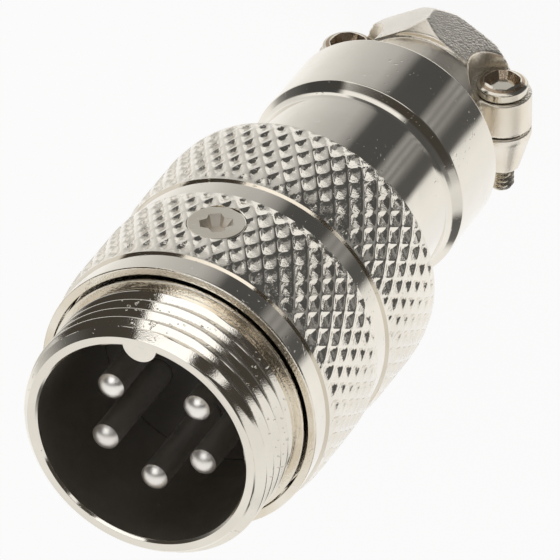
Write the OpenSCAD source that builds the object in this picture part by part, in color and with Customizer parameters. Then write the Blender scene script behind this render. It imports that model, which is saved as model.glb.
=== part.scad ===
// In-line microphone connector: threaded nose, knurled shell and two-jaw cable clamp.
// Millimetres. +Z runs along the axis from the clamp end, where it stands, to the mating rim.
// The key rib, the set screw and the clamp screws' heads face -Y.

/* [Overall] */
// Length from the clamp end to the mating rim, taken up by the barrel
connector_length = 43.9; // [42:0.1:48]

/* [Threaded nose] */
// Major diameter of the coupling thread
thread_diameter = 16; // [14:0.1:18]
// Length of the threaded stretch behind the rim
thread_length = 4.65; // [3.5:0.05:6]
// Length of the relief behind the thread
relief_length = 0.4; // [0.2:0.05:1]
// Depth of the relief below the thread's major radius
relief_depth = 0.3; // [0.1:0.05:0.6]
// Wall between the plug bore and the thread's major radius
nose_wall = 1.23; // [1.1:0.01:1.6]
// Chamfer at the start of the thread
thread_chamfer = 0.6; // [0.3:0.05:0.7]
// Chamfer at the mouth of the plug bore
mouth_chamfer = 0.15; // [0.1:0.05:0.35]
// Depth of the plug bore from the rim to the insulator
socket_depth = 9.5; // [8.5:0.1:12]
// Radius of the half-round key rib
key_radius = 1.1; // [0.8:0.05:1.4]
// How far the key rib stands into the plug bore
key_height = 0.85; // [0.5:0.05:1]
// How far the skirt stands out of the outer shell
skirt_reveal = 0.34; // [0.1:0.02:0.8]

/* [Skirt and insulator] */
// Step from the thread's major radius out to the skirt behind it
skirt_step = 0.3; // [0.1:0.01:0.4]
// Step from the skirt out to the land that centres it in the outer shell
land_step = 0.12; // [0.1:0.01:0.3]
// Length of the skirt in front of the land
skirt_nose = 2.1; // [1.5:0.1:3]
// Step from the plug bore out to the insulator's counterbore
counterbore_step = 0.53; // [0.4:0.01:0.7]
// Thickness of the insulator
insulator_thickness = 4.5; // [3.5:0.1:6]

/* [Contacts] */
// Diameter of a contact pin
pin_diameter = 1.7; // [1.4:0.05:2]
// Radius of the circle that the contacts stand on
pin_circle_radius = 3.55; // [3.2:0.05:3.9]
// Angle left open round the key between the first and last contact
key_gap_angle = 104; // [90:1:120]
// Depth of the pin tips below the rim
tip_depth = 1.5; // [1:0.1:3]
// Height of the dome on a pin's tip
tip_dome = 0.45; // [0.3:0.05:0.6]
// Diameter of the shoulder behind the insulator
shoulder_diameter = 2.5; // [2.2:0.1:2.9]
// Thickness of that shoulder
shoulder_thickness = 0.6; // [0.4:0.1:1]
// Length of the solder cup behind the shoulder
cup_length = 4; // [3:0.1:5]
// Diameter of the solder cup's hole
cup_bore = 1.2; // [0.9:0.05:1.3]
// Depth of the solder cup's hole
cup_depth = 3.2; // [2:0.1:4]
// Length of the side opening of the solder cup
scoop_length = 2.2; // [1:0.1:3]

/* [Outer shell] */
// Wall of the nose round the skirt
shell_wall = 0.54; // [0.45:0.01:0.9]
// Plain stretch in front of the first knurled band
plain_nose = 1.66; // [1:0.02:3]
// Length of the front knurled band
front_band = 7; // [6:0.05:9]
// Plain groove between the bands
band_gap = 1.65; // [1:0.05:3]
// Length of the rear knurled band
rear_band = 6.7; // [5:0.05:9]
// Radius of the front barrel
barrel_radius = 6.49; // [6.3:0.01:6.9]
// Length of the cone between the barrel and the rear collar
cone_length = 0.76; // [0.5:0.02:1.5]
// Radius of the rear collar
collar_radius = 7.1; // [7.05:0.01:7.6]
// Length of the rear collar
collar_length = 5.06; // [4.6:0.02:7]
// Wall of the barrel
barrel_wall = 0.95; // [0.8:0.01:1.1]
// Wall of the rear collar
collar_wall = 0.95; // [0.8:0.01:1.05]
// Thickness of the lip that holds the clamp
lip_thickness = 1; // [0.7:0.05:1.4]
// How far the clamp's flange reaches behind the lip
lip_overlap = 0.35; // [0.2:0.05:0.4]
// How far the step behind the insulator stands in from its edge
seat_step = 0.27; // [0.2:0.01:0.5]

/* [Knurl] */
// Diamonds round the shell
knurl_count = 48; // [36:2:60]
// Distance along the axis from one row of diamonds to the next
knurl_row = 1; // [0.9:0.05:1.3]
// Height of the diamonds
knurl_height = 0.3; // [0.15:0.01:0.4]
// Shortest run-out at the ends of a knurled band
band_chamfer = 0.4; // [0.3:0.05:0.45]

/* [Set screw] */
// Diameter of the set screw's head
set_head_diameter = 3.6; // [3:0.1:4]
// Depth of its cylindrical head below the crests
set_head_depth = 0.6; // [0.5:0.05:0.7]
// Length of the cone under the head
set_cone_length = 0.75; // [0.5:0.05:0.85]
// Diameter of its shank
set_shank_diameter = 2; // [1.6:0.1:2.4]
// How far its flat top lies below the crests
set_sink = 0.1; // [0:0.02:0.2]
// Distance from the front band's rear edge to the set screw
set_screw_place = 3.2; // [2.4:0.1:4.4]
// Span of its cross recess
set_recess_span = 2; // [1.6:0.1:2.6]
// Turn of its cross recess
set_recess_turn = 30; // [0:5:85]

/* [Cable clamp] */
// Width of the hexagonal clamp across its flats
clamp_flats = 9.9; // [9.5:0.05:10.6]
// Length of the hexagonal clamp
clamp_length = 3.1; // [2.9:0.05:4]
// Distance from the clamp to the rear collar
clamp_gap = 4.5; // [3.8:0.05:5.5]
// Diameter of the cable hole
cable_diameter = 6; // [5:0.1:6.6]
// Radius of the neck between the collar and the clamp
neck_radius = 4.75; // [4.6:0.01:4.85]
// Length of the neck's taper towards the collar
neck_taper = 0.9; // [0.5:0.05:1.5]
// Distance from that taper to the collar
neck_reveal = 0.7; // [0.4:0.05:1]
// Thickness of the flange behind the lip
flange_thickness = 1.2; // [0.8:0.05:1.6]
// Length of the cone at the clamp's rear corners
end_cone = 0.95; // [0.5:0.05:1.2]
// Length of the cone at the clamp's front corners
front_cone = 0.95; // [0.5:0.05:1.2]
// How far the cones stay outside the middle of the flats
cone_reserve = 0.15; // [0.05:0.01:0.3]
// Cone at each end of the cable hole
cable_lead = 0.5; // [0.2:0.05:0.8]
// Gap between the jaws when the clamp is closed
jaw_gap = 0.12; // [0.05:0.01:0.3]
// How far the split between the jaws lies off the axis, away from the screw heads
split_offset = 0.5; // [0:0.05:0.6]
// Travel of the upper jaw when the screws are backed off
jaw_travel = 0.6; // [0.3:0.05:0.7]
// Height of the clamp screws over the clamp end
screw_height = 2.4; // [2.1:0.05:3]
// Distance of each clamp screw from the axis
screw_offset = 5.2; // [4.9:0.05:5.6]
// Radius of the lugs round the clamp screws
lug_radius = 1.85; // [1.6:0.05:2]
// Radius of the pocket round a screw head
pocket_radius = 2.1; // [1.9:0.05:2.2]
// Height of the screw seats over the axis
seat_height = 1.95; // [1.5:0.05:2.3]
// Depth of the lower lugs below the axis
lug_depth = 3.45; // [2.8:0.05:4]
// Straight stretch of the lower lugs below the split
lug_straight = 0.5; // [0.2:0.05:1]
// Wall of the lower lugs at their foot
foot_wall = 0.3; // [0.2:0.05:0.5]

/* [Clamp screws] */
// Diameter of a clamp screw's thread
screw_diameter = 1.6; // [1.4:0.05:1.8]
// Diameter of its pan head
head_diameter = 3.2; // [2.8:0.05:3.6]
// Height of its pan head
head_height = 0.95; // [0.7:0.05:1.3]
// Height of the dome on its pan head
dome_height = 0.45; // [0.2:0.05:0.6]
// Span of its cross recess
recess_span = 2.3; // [1.4:0.1:2.4]
// Depth of its cross recess
recess_depth = 0.6; // [0.4:0.05:0.65]
// Width of the blades of the screws' cross recesses
recess_blade = 0.7; // [0.3:0.05:0.8]
// Length of the screw below its head
screw_length = 7.05; // [6:0.05:9]

/* [Hidden] */
$fn = 96;
// Fits: radial room between pieces that seat in each other, and between pieces that move
seat_room = 0.03;
run_room = 0.06;
// Overlap that makes a cut pass clean through a face
cut = 0.5;
// Fine edge break on turned pieces
edge_break = 0.12;

// Levels along the axis, from the clamp end upwards
nose_length = plain_nose + skirt_reveal + relief_length + thread_length;
knurled_length = rear_band + band_gap + front_band;
rear_length = clamp_length + clamp_gap + collar_length + cone_length;
barrel_length = connector_length - rear_length - knurled_length - nose_length;
collar_rear_z = clamp_length + clamp_gap;
collar_front_z = collar_rear_z + collar_length;
barrel_rear_z = collar_front_z + cone_length;
barrel_front_z = barrel_rear_z + barrel_length;
rear_band_front_z = barrel_front_z + rear_band;
front_band_rear_z = rear_band_front_z + band_gap;
front_band_front_z = front_band_rear_z + front_band;
shell_front_z = front_band_front_z + plain_nose;
skirt_front_z = shell_front_z + skirt_reveal;
thread_rear_z = skirt_front_z + relief_length;
rim_z = thread_rear_z + thread_length;
insulator_front_z = rim_z - socket_depth;
insulator_rear_z = insulator_front_z - insulator_thickness;

// Radii from the nose outwards
thread_radius = thread_diameter / 2;
relief_radius = thread_radius - relief_depth;
bore_radius = thread_radius - nose_wall;
counterbore_radius = bore_radius + counterbore_step;
skirt_radius = thread_radius + skirt_step;
land_radius = skirt_radius + land_step;
shell_bore_radius = land_radius + seat_room;
shell_radius = shell_bore_radius + shell_wall;
crest_radius = shell_radius + knurl_height;
seat_bore_radius = counterbore_radius - seat_step;
barrel_bore_radius = barrel_radius - barrel_wall;
cavity_radius = collar_radius - collar_wall;

// Clamp: the flange keeps behind the lip while the upper jaw travels
flange_radius = cavity_radius - jaw_travel - run_room;
lip_radius = flange_radius - lip_overlap;
inner_neck_radius = lip_radius - jaw_travel - run_room;
flange_rear_z = collar_rear_z + lip_thickness;
flange_front_z = flange_rear_z + flange_thickness;
corner_radius = clamp_flats / sqrt(3);
cable_radius = cable_diameter / 2;
screw_radius = screw_diameter / 2;
head_radius = head_diameter / 2;

// Set screw in the front band
set_screw_z = front_band_rear_z + set_screw_place;
set_head_radius = set_head_diameter / 2;
set_shank_radius = set_shank_diameter / 2;
set_head_y = crest_radius - set_sink;

// Knurl: valleys a little proud of the turned shell, and the buried inside of each band
valley_proud = 0.12;
band_bury = 0.18;
band_inner_wall = 0.1;
valley_radius = shell_radius + valley_proud;
band_root_radius = shell_radius - band_bury;
band_inner_radius = band_root_radius - band_inner_wall;

// Colours as the photograph shows them
nickel = [0.8, 0.78, 0.74];
cast_nickel = [0.72, 0.69, 0.64];
contact_nickel = [0.86, 0.84, 0.8];
insulator_black = [0.13, 0.12, 0.11];

// A body turned from its half section
module turned(section) {
  rotate_extrude() polygon(section);
}

// Children laid along -Y from a point on the axis, their own +Z pointing outwards
module facing_up(z) {
  translate([0, 0, z]) rotate([90, 0, 0]) children();
}

// Round top of the given height, its highest point at the origin and a dome on its upper end
module domed_top(radius, height, dome) {
  sphere_radius = (radius * radius + dome * dome) / (2 * dome);
  intersection() {
    translate([0, 0, -height]) cylinder(r = radius, h = height);
    translate([0, 0, -sphere_radius]) sphere(r = sphere_radius);
  }
}

// Cross recess cut down from a screw's top
module cross_recess(top, depth, span) {
  for (turn = [0, 90])
    rotate([0, 0, turn])
      translate([-span / 2, -recess_blade / 2, top - depth])
        cube([span, recess_blade, depth + cut]);
}

module threaded_shell() {
  color(nickel) difference() {
    union() {
      turned([
        [bore_radius, insulator_front_z],
        [bore_radius, rim_z - mouth_chamfer],
        [bore_radius + mouth_chamfer, rim_z],
        [thread_radius - thread_chamfer, rim_z],
        [thread_radius, rim_z - thread_chamfer],
        [thread_radius, thread_rear_z],
        [relief_radius, thread_rear_z],
        [relief_radius, skirt_front_z],
        [skirt_radius, skirt_front_z],
        [skirt_radius, skirt_front_z - skirt_nose],
        [land_radius, skirt_front_z - skirt_nose],
        [land_radius, insulator_rear_z],
        [counterbore_radius, insulator_rear_z],
        [counterbore_radius, insulator_front_z]
      ]);
      key_rib();
    }
    facing_up(set_screw_z)
      translate([0, 0, counterbore_radius - cut])
        cylinder(r = set_shank_radius + seat_room, h = land_radius);
    set_screw_cone(seat_room);
  }
}

// Half-round rib along the plug bore that keys the mating plug
module key_rib() {
  rib_y = bore_radius - key_height + key_radius;
  intersection() {
    translate([0, -rib_y, insulator_front_z])
      cylinder(r = key_radius, h = rim_z - insulator_front_z);
    translate([0, 0, insulator_front_z])
      cylinder(r = bore_radius + counterbore_step / 2, h = rim_z - insulator_front_z);
  }
}

function pin_angle(i) = key_gap_angle / 2 + (i - 1) * (360 - key_gap_angle) / 4;

// Children moved to contact number i, counted round from the key
module at_pin(i) {
  rotate([0, 0, pin_angle(i) - 90]) translate([pin_circle_radius, 0, 0]) children();
}

module insulator() {
  color(insulator_black) difference() {
    translate([0, 0, insulator_rear_z])
      cylinder(r = counterbore_radius - seat_room, h = insulator_thickness);
    for (i = [1:5])
      at_pin(i)
        translate([0, 0, insulator_rear_z - cut])
          cylinder(r = pin_diameter / 2 + seat_room, h = insulator_thickness + 2 * cut);
  }
}

// Turned contact: round tip, shank, shoulder behind the insulator and a scooped solder cup
module contact_pin(i) {
  pin_radius = pin_diameter / 2;
  tip_z = rim_z - tip_depth;
  shoulder_z = insulator_rear_z - shoulder_thickness;
  cup_rear_z = shoulder_z - cup_length;
  color(contact_nickel) at_pin(i) difference() {
    union() {
      translate([0, 0, tip_z]) domed_top(pin_radius, pin_radius, tip_dome);
      translate([0, 0, cup_rear_z])
        cylinder(r = pin_radius, h = tip_z - pin_radius - cup_rear_z);
      translate([0, 0, shoulder_z])
        cylinder(d = shoulder_diameter, h = shoulder_thickness);
    }
    translate([0, 0, cup_rear_z - cut])
      cylinder(d = cup_bore, h = cup_depth + cut);
    translate([0, -pin_diameter, cup_rear_z - cut])
      cube([pin_diameter, 2 * pin_diameter, scoop_length + cut]);
  }
}

// Points of one ring of the knurl: crests and valleys in turn, shifted on every other row
function knurl_ring(z, row, low, high) = [
  for (i = [0:2 * knurl_count - 1])
    let (r = (i + row) % 2 == 0 ? high : low, a = i * 180 / knurl_count)
      [r * cos(a), r * sin(a), z]
];

// One knurled band: pyramids between two crossing sets of helical grooves
module knurl_band(rear_z, length) {
  sides = 2 * knurl_count;
  rows = floor((length - 2 * band_chamfer) / knurl_row);
  first_z = rear_z + (length - rows * knurl_row) / 2;
  front_z = rear_z + length;
  rings = concat(
    knurl_ring(front_z, 0, band_inner_radius, band_inner_radius),
    knurl_ring(rear_z, 0, band_inner_radius, band_inner_radius),
    knurl_ring(rear_z, 0, band_root_radius, band_root_radius),
    [for (k = [0:rows]) each knurl_ring(first_z + k * knurl_row, k, valley_radius, crest_radius)],
    knurl_ring(front_z, 0, band_root_radius, band_root_radius)
  );
  ring_count = rows + 5;
  polyhedron(points = rings, faces = knurl_faces(ring_count, sides), convexity = 4);
}

// Triangles between neighbouring rings, with each diagonal laid along a groove
function knurl_faces(ring_count, sides) = [
  for (k = [0:ring_count - 1], i = [0:sides - 1])
    let (
      next_ring = (k + 1) % ring_count,
      next_i = (i + 1) % sides,
      a = k * sides + i,
      b = k * sides + next_i,
      c = next_ring * sides + next_i,
      d = next_ring * sides + i
    )
      each (k + i) % 2 == 1 ? [[a, d, b], [b, d, c]] : [[a, c, b], [a, d, c]]
];

module outer_shell() {
  color(nickel) difference() {
    union() {
      turned([
        [lip_radius, collar_rear_z],
        [collar_radius - edge_break, collar_rear_z],
        [collar_radius, collar_rear_z + edge_break],
        [collar_radius, collar_front_z],
        [barrel_radius, barrel_rear_z],
        [barrel_radius, barrel_front_z],
        [shell_radius, barrel_front_z],
        [shell_radius, shell_front_z - edge_break],
        [shell_radius - edge_break, shell_front_z],
        [shell_bore_radius, shell_front_z],
        [shell_bore_radius, insulator_rear_z],
        [seat_bore_radius, insulator_rear_z],
        [seat_bore_radius, barrel_front_z + seat_bore_radius - barrel_bore_radius + barrel_wall],
        [barrel_bore_radius, barrel_front_z + barrel_wall],
        [barrel_bore_radius, collar_front_z],
        [cavity_radius, collar_front_z - cavity_radius + barrel_bore_radius],
        [cavity_radius, flange_rear_z],
        [lip_radius, flange_rear_z]
      ]);
      knurl_band(barrel_front_z, rear_band);
      knurl_band(front_band_rear_z, front_band);
    }
    facing_up(set_screw_z)
      translate([0, 0, shell_bore_radius - cut])
        cylinder(r = set_head_radius + seat_room, h = crest_radius);
  }
}

// Cone under the set screw's head, sunk into the skirt
module set_screw_cone(room) {
  cone_top = set_head_y - set_head_depth;
  facing_up(set_screw_z)
    translate([0, 0, cone_top - set_cone_length])
      cylinder(r1 = set_shank_radius + room, r2 = set_head_radius + room, h = set_cone_length);
}

module set_screw() {
  cone_top = set_head_y - set_head_depth;
  tip_y = counterbore_radius + seat_room;
  color(nickel) difference() {
    union() {
      facing_up(set_screw_z) translate([0, 0, cone_top])
        cylinder(r = set_head_radius, h = set_head_depth);
      set_screw_cone(0);
      facing_up(set_screw_z) translate([0, 0, tip_y])
        cylinder(r = set_shank_radius, h = cone_top - tip_y);
    }
    facing_up(set_screw_z) rotate([0, 0, set_recess_turn])
      cross_recess(set_head_y, set_head_depth, set_recess_span);
  }
}

// Both jaws before they are split: hexagon with coned corners, neck and flange.
// The flange lies axial_room in front of the lip.
module clamp_blank(axial_room) {
  end_radius = clamp_flats / 2 + cone_reserve;
  intersection() {
    rotate([0, 0, 30]) cylinder(r = corner_radius, h = clamp_length, $fn = 6);
    turned([
      [0, 0],
      [end_radius, 0],
      [corner_radius, end_cone],
      [corner_radius, clamp_length - front_cone],
      [end_radius, clamp_length],
      [0, clamp_length]
    ]);
  }
  turned([
    [0, clamp_length / 2],
    [neck_radius, clamp_length / 2],
    [neck_radius, collar_rear_z - neck_reveal - neck_taper],
    [inner_neck_radius, collar_rear_z - neck_reveal],
    [inner_neck_radius, flange_rear_z + axial_room],
    [flange_radius, flange_rear_z + axial_room],
    [flange_radius, flange_front_z],
    [0, flange_front_z]
  ]);
}

// Hole for the cable, with a small cone at each end
module cable_hole() {
  turned([
    [0, -cut],
    [cable_radius + cable_lead + cut, -cut],
    [cable_radius, cable_lead],
    [cable_radius, flange_front_z - cable_lead],
    [cable_radius + cable_lead + cut, flange_front_z + cut],
    [0, flange_front_z + cut]
  ]);
}

// Children at both clamp screws, their own +Z pointing out of the heads
module at_screws() {
  for (side = [-1, 1])
    translate([side * screw_offset, 0, screw_height]) rotate([90, 0, 0]) children();
}

// The half space above or below the split, as seen with the screw heads up
module above_split() {
  span = 4 * collar_radius;
  translate([-span / 2, split_offset - jaw_gap / 2 - span, -span / 2])
    cube([span, span, 2 * span]);
}

module below_split() {
  span = 4 * collar_radius;
  translate([-span / 2, split_offset + jaw_gap / 2, -span / 2])
    cube([span, span, 2 * span]);
}

module upper_jaw() {
  color(cast_nickel) intersection() {
    difference() {
      union() {
        clamp_blank(run_room);
        at_screws()
          translate([0, 0, -lug_depth]) cylinder(r = lug_radius, h = lug_depth + seat_height);
      }
      cable_hole();
      at_screws() {
        translate([0, 0, seat_height]) cylinder(r = pocket_radius, h = corner_radius);
        translate([0, 0, -lug_depth - cut])
          cylinder(r = screw_radius + run_room, h = lug_depth + seat_height + 2 * cut);
      }
    }
    above_split();
  }
}

module lower_jaw() {
  straight = split_offset + lug_straight;
  foot_radius = screw_radius + foot_wall;
  color(cast_nickel) intersection() {
    difference() {
      union() {
        clamp_blank(0);
        at_screws() {
          translate([0, 0, -straight]) cylinder(r = lug_radius, h = straight);
          translate([0, 0, -lug_depth])
            cylinder(r1 = foot_radius, r2 = lug_radius, h = lug_depth - straight);
        }
      }
      cable_hole();
      at_screws()
        translate([0, 0, -lug_depth - cut])
          cylinder(r = screw_radius + run_room, h = lug_depth + 2 * cut);
    }
    below_split();
  }
}

// Pan-head cross-head screw; side is -1 for the left one and 1 for the right one
module clamp_screw(side) {
  under_head = seat_height + run_room;
  color(nickel)
    translate([side * screw_offset, 0, screw_height]) rotate([90, 0, 0]) difference() {
      union() {
        translate([0, 0, under_head - screw_length])
          cylinder(r = screw_radius, h = screw_length);
        translate([0, 0, under_head + head_height])
          domed_top(head_radius, head_height, dome_height);
      }
      cross_recess(under_head + head_height, recess_depth, recess_span);
    }
}

threaded_shell();
insulator();
contact_pin(1);  // contact_pin_1
contact_pin(2);  // contact_pin_2
contact_pin(3);  // contact_pin_3
contact_pin(4);  // contact_pin_4
contact_pin(5);  // contact_pin_5
outer_shell();
set_screw();
lower_jaw();
upper_jaw();
clamp_screw(-1);  // clamp_screw_left
clamp_screw(1);  // clamp_screw_right
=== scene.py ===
import math
from functools import partial

import bmesh
import bpy
from mathutils import Matrix, Vector


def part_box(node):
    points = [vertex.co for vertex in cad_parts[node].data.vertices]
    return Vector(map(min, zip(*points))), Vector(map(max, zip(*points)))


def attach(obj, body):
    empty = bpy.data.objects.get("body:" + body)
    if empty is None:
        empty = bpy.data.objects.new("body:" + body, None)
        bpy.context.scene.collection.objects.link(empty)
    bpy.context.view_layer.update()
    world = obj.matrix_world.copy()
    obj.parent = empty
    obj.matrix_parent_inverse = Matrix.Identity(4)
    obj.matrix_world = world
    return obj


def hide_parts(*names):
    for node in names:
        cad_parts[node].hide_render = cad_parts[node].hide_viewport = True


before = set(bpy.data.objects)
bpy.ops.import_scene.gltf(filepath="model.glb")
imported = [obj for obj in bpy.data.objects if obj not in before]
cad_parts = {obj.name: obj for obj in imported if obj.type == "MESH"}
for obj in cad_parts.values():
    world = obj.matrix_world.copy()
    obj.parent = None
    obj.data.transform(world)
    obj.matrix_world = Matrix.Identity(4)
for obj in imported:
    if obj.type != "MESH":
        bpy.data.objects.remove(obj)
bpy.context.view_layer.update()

# Camera
# It looks down on the standing connector from in front of the key rib, rolled as the photograph
# is, so that the nose comes out at the lower left. Lens and place were fitted to the rim and shell.
MM = 0.001
camera_place = Vector((-247.08, -396.32, 565.12)) * MM
camera_forward = Vector((0.3454, 0.5546, -0.7565))
camera_up = Vector((0.2303, -0.832, -0.5052))
lens_mm = 760.9
sensor_mm = 36
nearest_seen = 0.01

camera_back = -camera_forward.normalized()
camera_right = camera_up.cross(camera_back).normalized()
camera_turn = Matrix((camera_right, camera_back.cross(camera_right), camera_back)).transposed()
camera_data = bpy.data.cameras.new("camera")
camera_data.lens = lens_mm
camera_data.sensor_width = sensor_mm
camera_data.clip_start = nearest_seen
camera = bpy.data.objects.new("camera", camera_data)
camera.matrix_world = Matrix.Translation(camera_place) @ camera_turn.to_4x4()
bpy.context.scene.collection.objects.link(camera)
bpy.context.scene.camera = camera
bpy.context.scene.view_settings.view_transform = "Standard"


# Threaded sleeve
# A brass tube turned on a lathe, cut with an M16 x 1 thread on its nose and bright nickel plated.
# Its skirt slides into the outer shell, and a half-round rib in its bore keys the mating plug.
def box_mm(node):
    """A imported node's lowest and highest corners in millimetres, to a ten-thousandth."""
    return [[round(c / MM, 4) for c in corner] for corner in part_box(node)]


sleeve_low, sleeve_high = box_mm("threaded_shell")
insulator_low, insulator_high = box_mm("insulator")
set_screw_low, set_screw_high = box_mm("set_screw")
rim_z = sleeve_high[2]
sleeve_rear_z = sleeve_low[2]
thread_rear_z = 39.25
thread_major = 8.0
thread_depth = 0.6
thread_pitch = 1.0
thread_steps = 32
relief_radius = 7.7
rim_radius = thread_major - thread_depth
bore_radius = 6.77
mouth_chamfer = 0.15
skirt_front_z = 38.85
skirt_radius = 8.3
land_front_z = 36.75
land_radius = sleeve_high[0]
insulator_front_z = insulator_high[2]
insulator_rear_z = insulator_low[2]
counterbore_radius = 7.3
set_screw_z = (set_screw_low[2] + set_screw_high[2]) / 2
set_shank_hole = 1.03
shank_hole_start = 7
shank_hole_end = 9
shank_hole_steps = 48
sleeve_steps = 192
sleeve_sharp_angle = math.radians(40)

edge_round = 0.05
arc_steps = 4
arc_support = 0.04
arc_edge_share = 0.45


def rounded(section, closed=False):
    """An (r, z) section with small arcs for corners; a third number is that corner's own radius."""
    points = []
    count = len(section)
    for i, corner in enumerate(section):
        here = Vector(corner[:2])
        size = corner[2] if len(corner) > 2 else edge_round
        if size == 0 or (not closed and i in (0, count - 1)):
            points.append(here)
            continue
        to_last = Vector(section[i - 1][:2]) - here
        to_next = Vector(section[(i + 1) % count][:2]) - here
        half = to_last.angle(to_next) / 2
        room = arc_edge_share * min(to_last.length, to_next.length)
        reach = min(size / math.tan(half), room - arc_support / 2)
        to_last.normalize()
        to_next.normalize()
        start = here + to_last * reach
        end = here + to_next * reach
        support = min(arc_support, room - reach)
        points.append(start + to_last * support)
        for k in range(arc_steps + 1):
            t = k / arc_steps
            points.append(start.lerp(here, t).lerp(here.lerp(end, t), t))
        points.append(end + to_next * support)
    return points


on_axis = 1e-6


def turn(bm, section, steps, closed=False):
    """Turns an (r, z) section in millimetres round Z; a point on the axis becomes a pole."""
    angles = [2 * math.pi * k / steps for k in range(steps)]
    rings = []
    for r, z in section:
        if r < on_axis:
            rings.append([bm.verts.new((0, 0, z * MM))] * steps)
        else:
            spots = [(r * math.cos(a) * MM, r * math.sin(a) * MM, z * MM) for a in angles]
            rings.append([bm.verts.new(spot) for spot in spots])
    if closed:
        rings.append(rings[0])
    for low, high in zip(rings, rings[1:]):
        for k in range(steps):
            m = (k + 1) % steps
            corners = list(dict.fromkeys((low[k], low[m], high[m], high[k])))
            if len(corners) > 2:
                bm.faces.new(corners)


weld = 1e-6


def piece(name, bm):
    """A linked object from a bmesh, welded and with its faces pointing outwards."""
    bmesh.ops.remove_doubles(bm, verts=bm.verts, dist=weld)
    bmesh.ops.recalc_face_normals(bm, faces=bm.faces)
    mesh = bpy.data.meshes.new(name)
    bm.to_mesh(mesh)
    bm.free()
    obj = bpy.data.objects.new(name, mesh)
    bpy.context.scene.collection.objects.link(obj)
    return obj


def settle(obj):
    """Makes the evaluated result of an object's modifiers its plain mesh."""
    evaluated = obj.evaluated_get(bpy.context.evaluated_depsgraph_get())
    mesh = bpy.data.meshes.new_from_object(evaluated)
    obj.modifiers.clear()
    old = obj.data
    obj.data = mesh
    bpy.data.meshes.remove(old)


def fuse(obj, tool, operation):
    """Unites obj with another solid, or cuts that solid from it, and removes the other one."""
    modifier = obj.modifiers.new("fuse", "BOOLEAN")
    modifier.solver = "MANIFOLD"
    modifier.operation = operation
    modifier.object = tool
    settle(obj)
    bpy.data.objects.remove(tool)


sharp_angle = math.radians(24)


def finish_shading(obj, material, angle=sharp_angle):
    """Smooth shading with crisp edges, and one material all over."""
    mesh = obj.data
    mesh.materials.clear()
    mesh.materials.append(material)
    mesh.polygons.foreach_set("material_index", [0] * len(mesh.polygons))
    mesh.shade_smooth()
    mesh.set_sharp_from_angle(angle=angle)


def link_math(tree, operation, *values):
    """A Math node in a geometry or shader tree; each value is a socket or a number."""
    node = tree.nodes.new("ShaderNodeMath")
    node.operation = operation
    for socket, value in zip(node.inputs, values):
        if isinstance(value, (int, float)):
            socket.default_value = value
        else:
            tree.links.new(value, socket)
    return node.outputs[0]


def new_tree(name, numbers):
    """A geometry tree with a Geometry input and output, named number inputs and a Material input."""
    tree = bpy.data.node_groups.new(name, "GeometryNodeTree")
    tree.interface.new_socket("Geometry", in_out="OUTPUT", socket_type="NodeSocketGeometry")
    tree.interface.new_socket("Geometry", in_out="INPUT", socket_type="NodeSocketGeometry")
    for label, kind in numbers:
        tree.interface.new_socket(label, in_out="INPUT", socket_type=f"NodeSocket{kind}")
    tree.interface.new_socket("Material", in_out="INPUT", socket_type="NodeSocketMaterial")
    return tree, tree.nodes.new("NodeGroupInput").outputs, tree.nodes.new("NodeGroupOutput").inputs


def end_tree(tree, geometry, given, result):
    """Ends a tree in Realize Instances and Set Material."""
    realize = tree.nodes.new("GeometryNodeRealizeInstances")
    coat = tree.nodes.new("GeometryNodeSetMaterial")
    tree.links.new(geometry, realize.inputs[0])
    tree.links.new(realize.outputs[0], coat.inputs["Geometry"])
    tree.links.new(given["Material"], coat.inputs["Material"])
    tree.links.new(coat.outputs[0], result["Geometry"])


def grow(obj, tree, values):
    """Runs a geometry tree on an object with its named inputs set, and keeps the plain mesh."""
    modifier = obj.modifiers.new(tree.name, "NODES")
    modifier.node_group = tree
    for item in tree.interface.items_tree:
        if item.in_out == "INPUT" and item.name in values:
            modifier[item.identifier] = values[item.name]
    settle(obj)


# A helical thread between two turned ends. Rows follow the helix, and what would pass an end
# collapses onto its ring, so that the thread welds to the turned body that comes in.
root_share = 0.08
flank_share = 0.84
crest_rounding = 0.15
thread_tree, given, result = new_tree("Helical thread", [
    ("Root Radius", "Float"), ("Depth", "Float"), ("Pitch", "Float"), ("Start", "Float"),
    ("Length", "Float"), ("Start Radius", "Float"), ("End Radius", "Float"),
    ("Steps Round", "Int"), ("Steps per Turn", "Int")])
nodes = thread_tree.nodes
links = thread_tree.links
calc = partial(link_math, thread_tree)
turns = calc("ADD", calc("CEIL", calc("DIVIDE", given["Length"], given["Pitch"])), 1)
grid = nodes.new("GeometryNodeMeshGrid")
grid.inputs["Size X"].default_value = 1
grid.inputs["Size Y"].default_value = 1
links.new(calc("ADD", given["Steps Round"], 1), grid.inputs["Vertices X"])
links.new(calc("ADD", calc("MULTIPLY", turns, given["Steps per Turn"]), 1), grid.inputs["Vertices Y"])
place = nodes.new("ShaderNodeSeparateXYZ")
links.new(nodes.new("GeometryNodeInputPosition").outputs[0], place.inputs[0])
share_round = calc("ADD", place.outputs["X"], 0.5)
along = calc("SUBTRACT", calc("MULTIPLY", calc("ADD", place.outputs["Y"], 0.5), turns), 1)
rise = calc("MULTIPLY", calc("ADD", along, share_round), given["Pitch"])
rise = calc("MINIMUM", calc("MAXIMUM", rise, 0), given["Length"])
crest = calc("PINGPONG", calc("MULTIPLY", along, 2), 1)
flank = calc("DIVIDE", calc("SUBTRACT", crest, root_share), flank_share)
flank = calc("SMOOTH_MIN", calc("MAXIMUM", flank, 0), 1, crest_rounding)
radius = calc("ADD", given["Root Radius"], calc("MULTIPLY", given["Depth"], flank))
radius = calc("MAXIMUM", radius, calc("SUBTRACT", given["Start Radius"], rise))
radius = calc("MINIMUM", radius, calc("ADD", given["Start Radius"], rise))
to_end = calc("SUBTRACT", given["Length"], rise)
radius = calc("MINIMUM", radius, calc("ADD", given["End Radius"], to_end))
angle = calc("MULTIPLY", share_round, 2 * math.pi)
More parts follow.
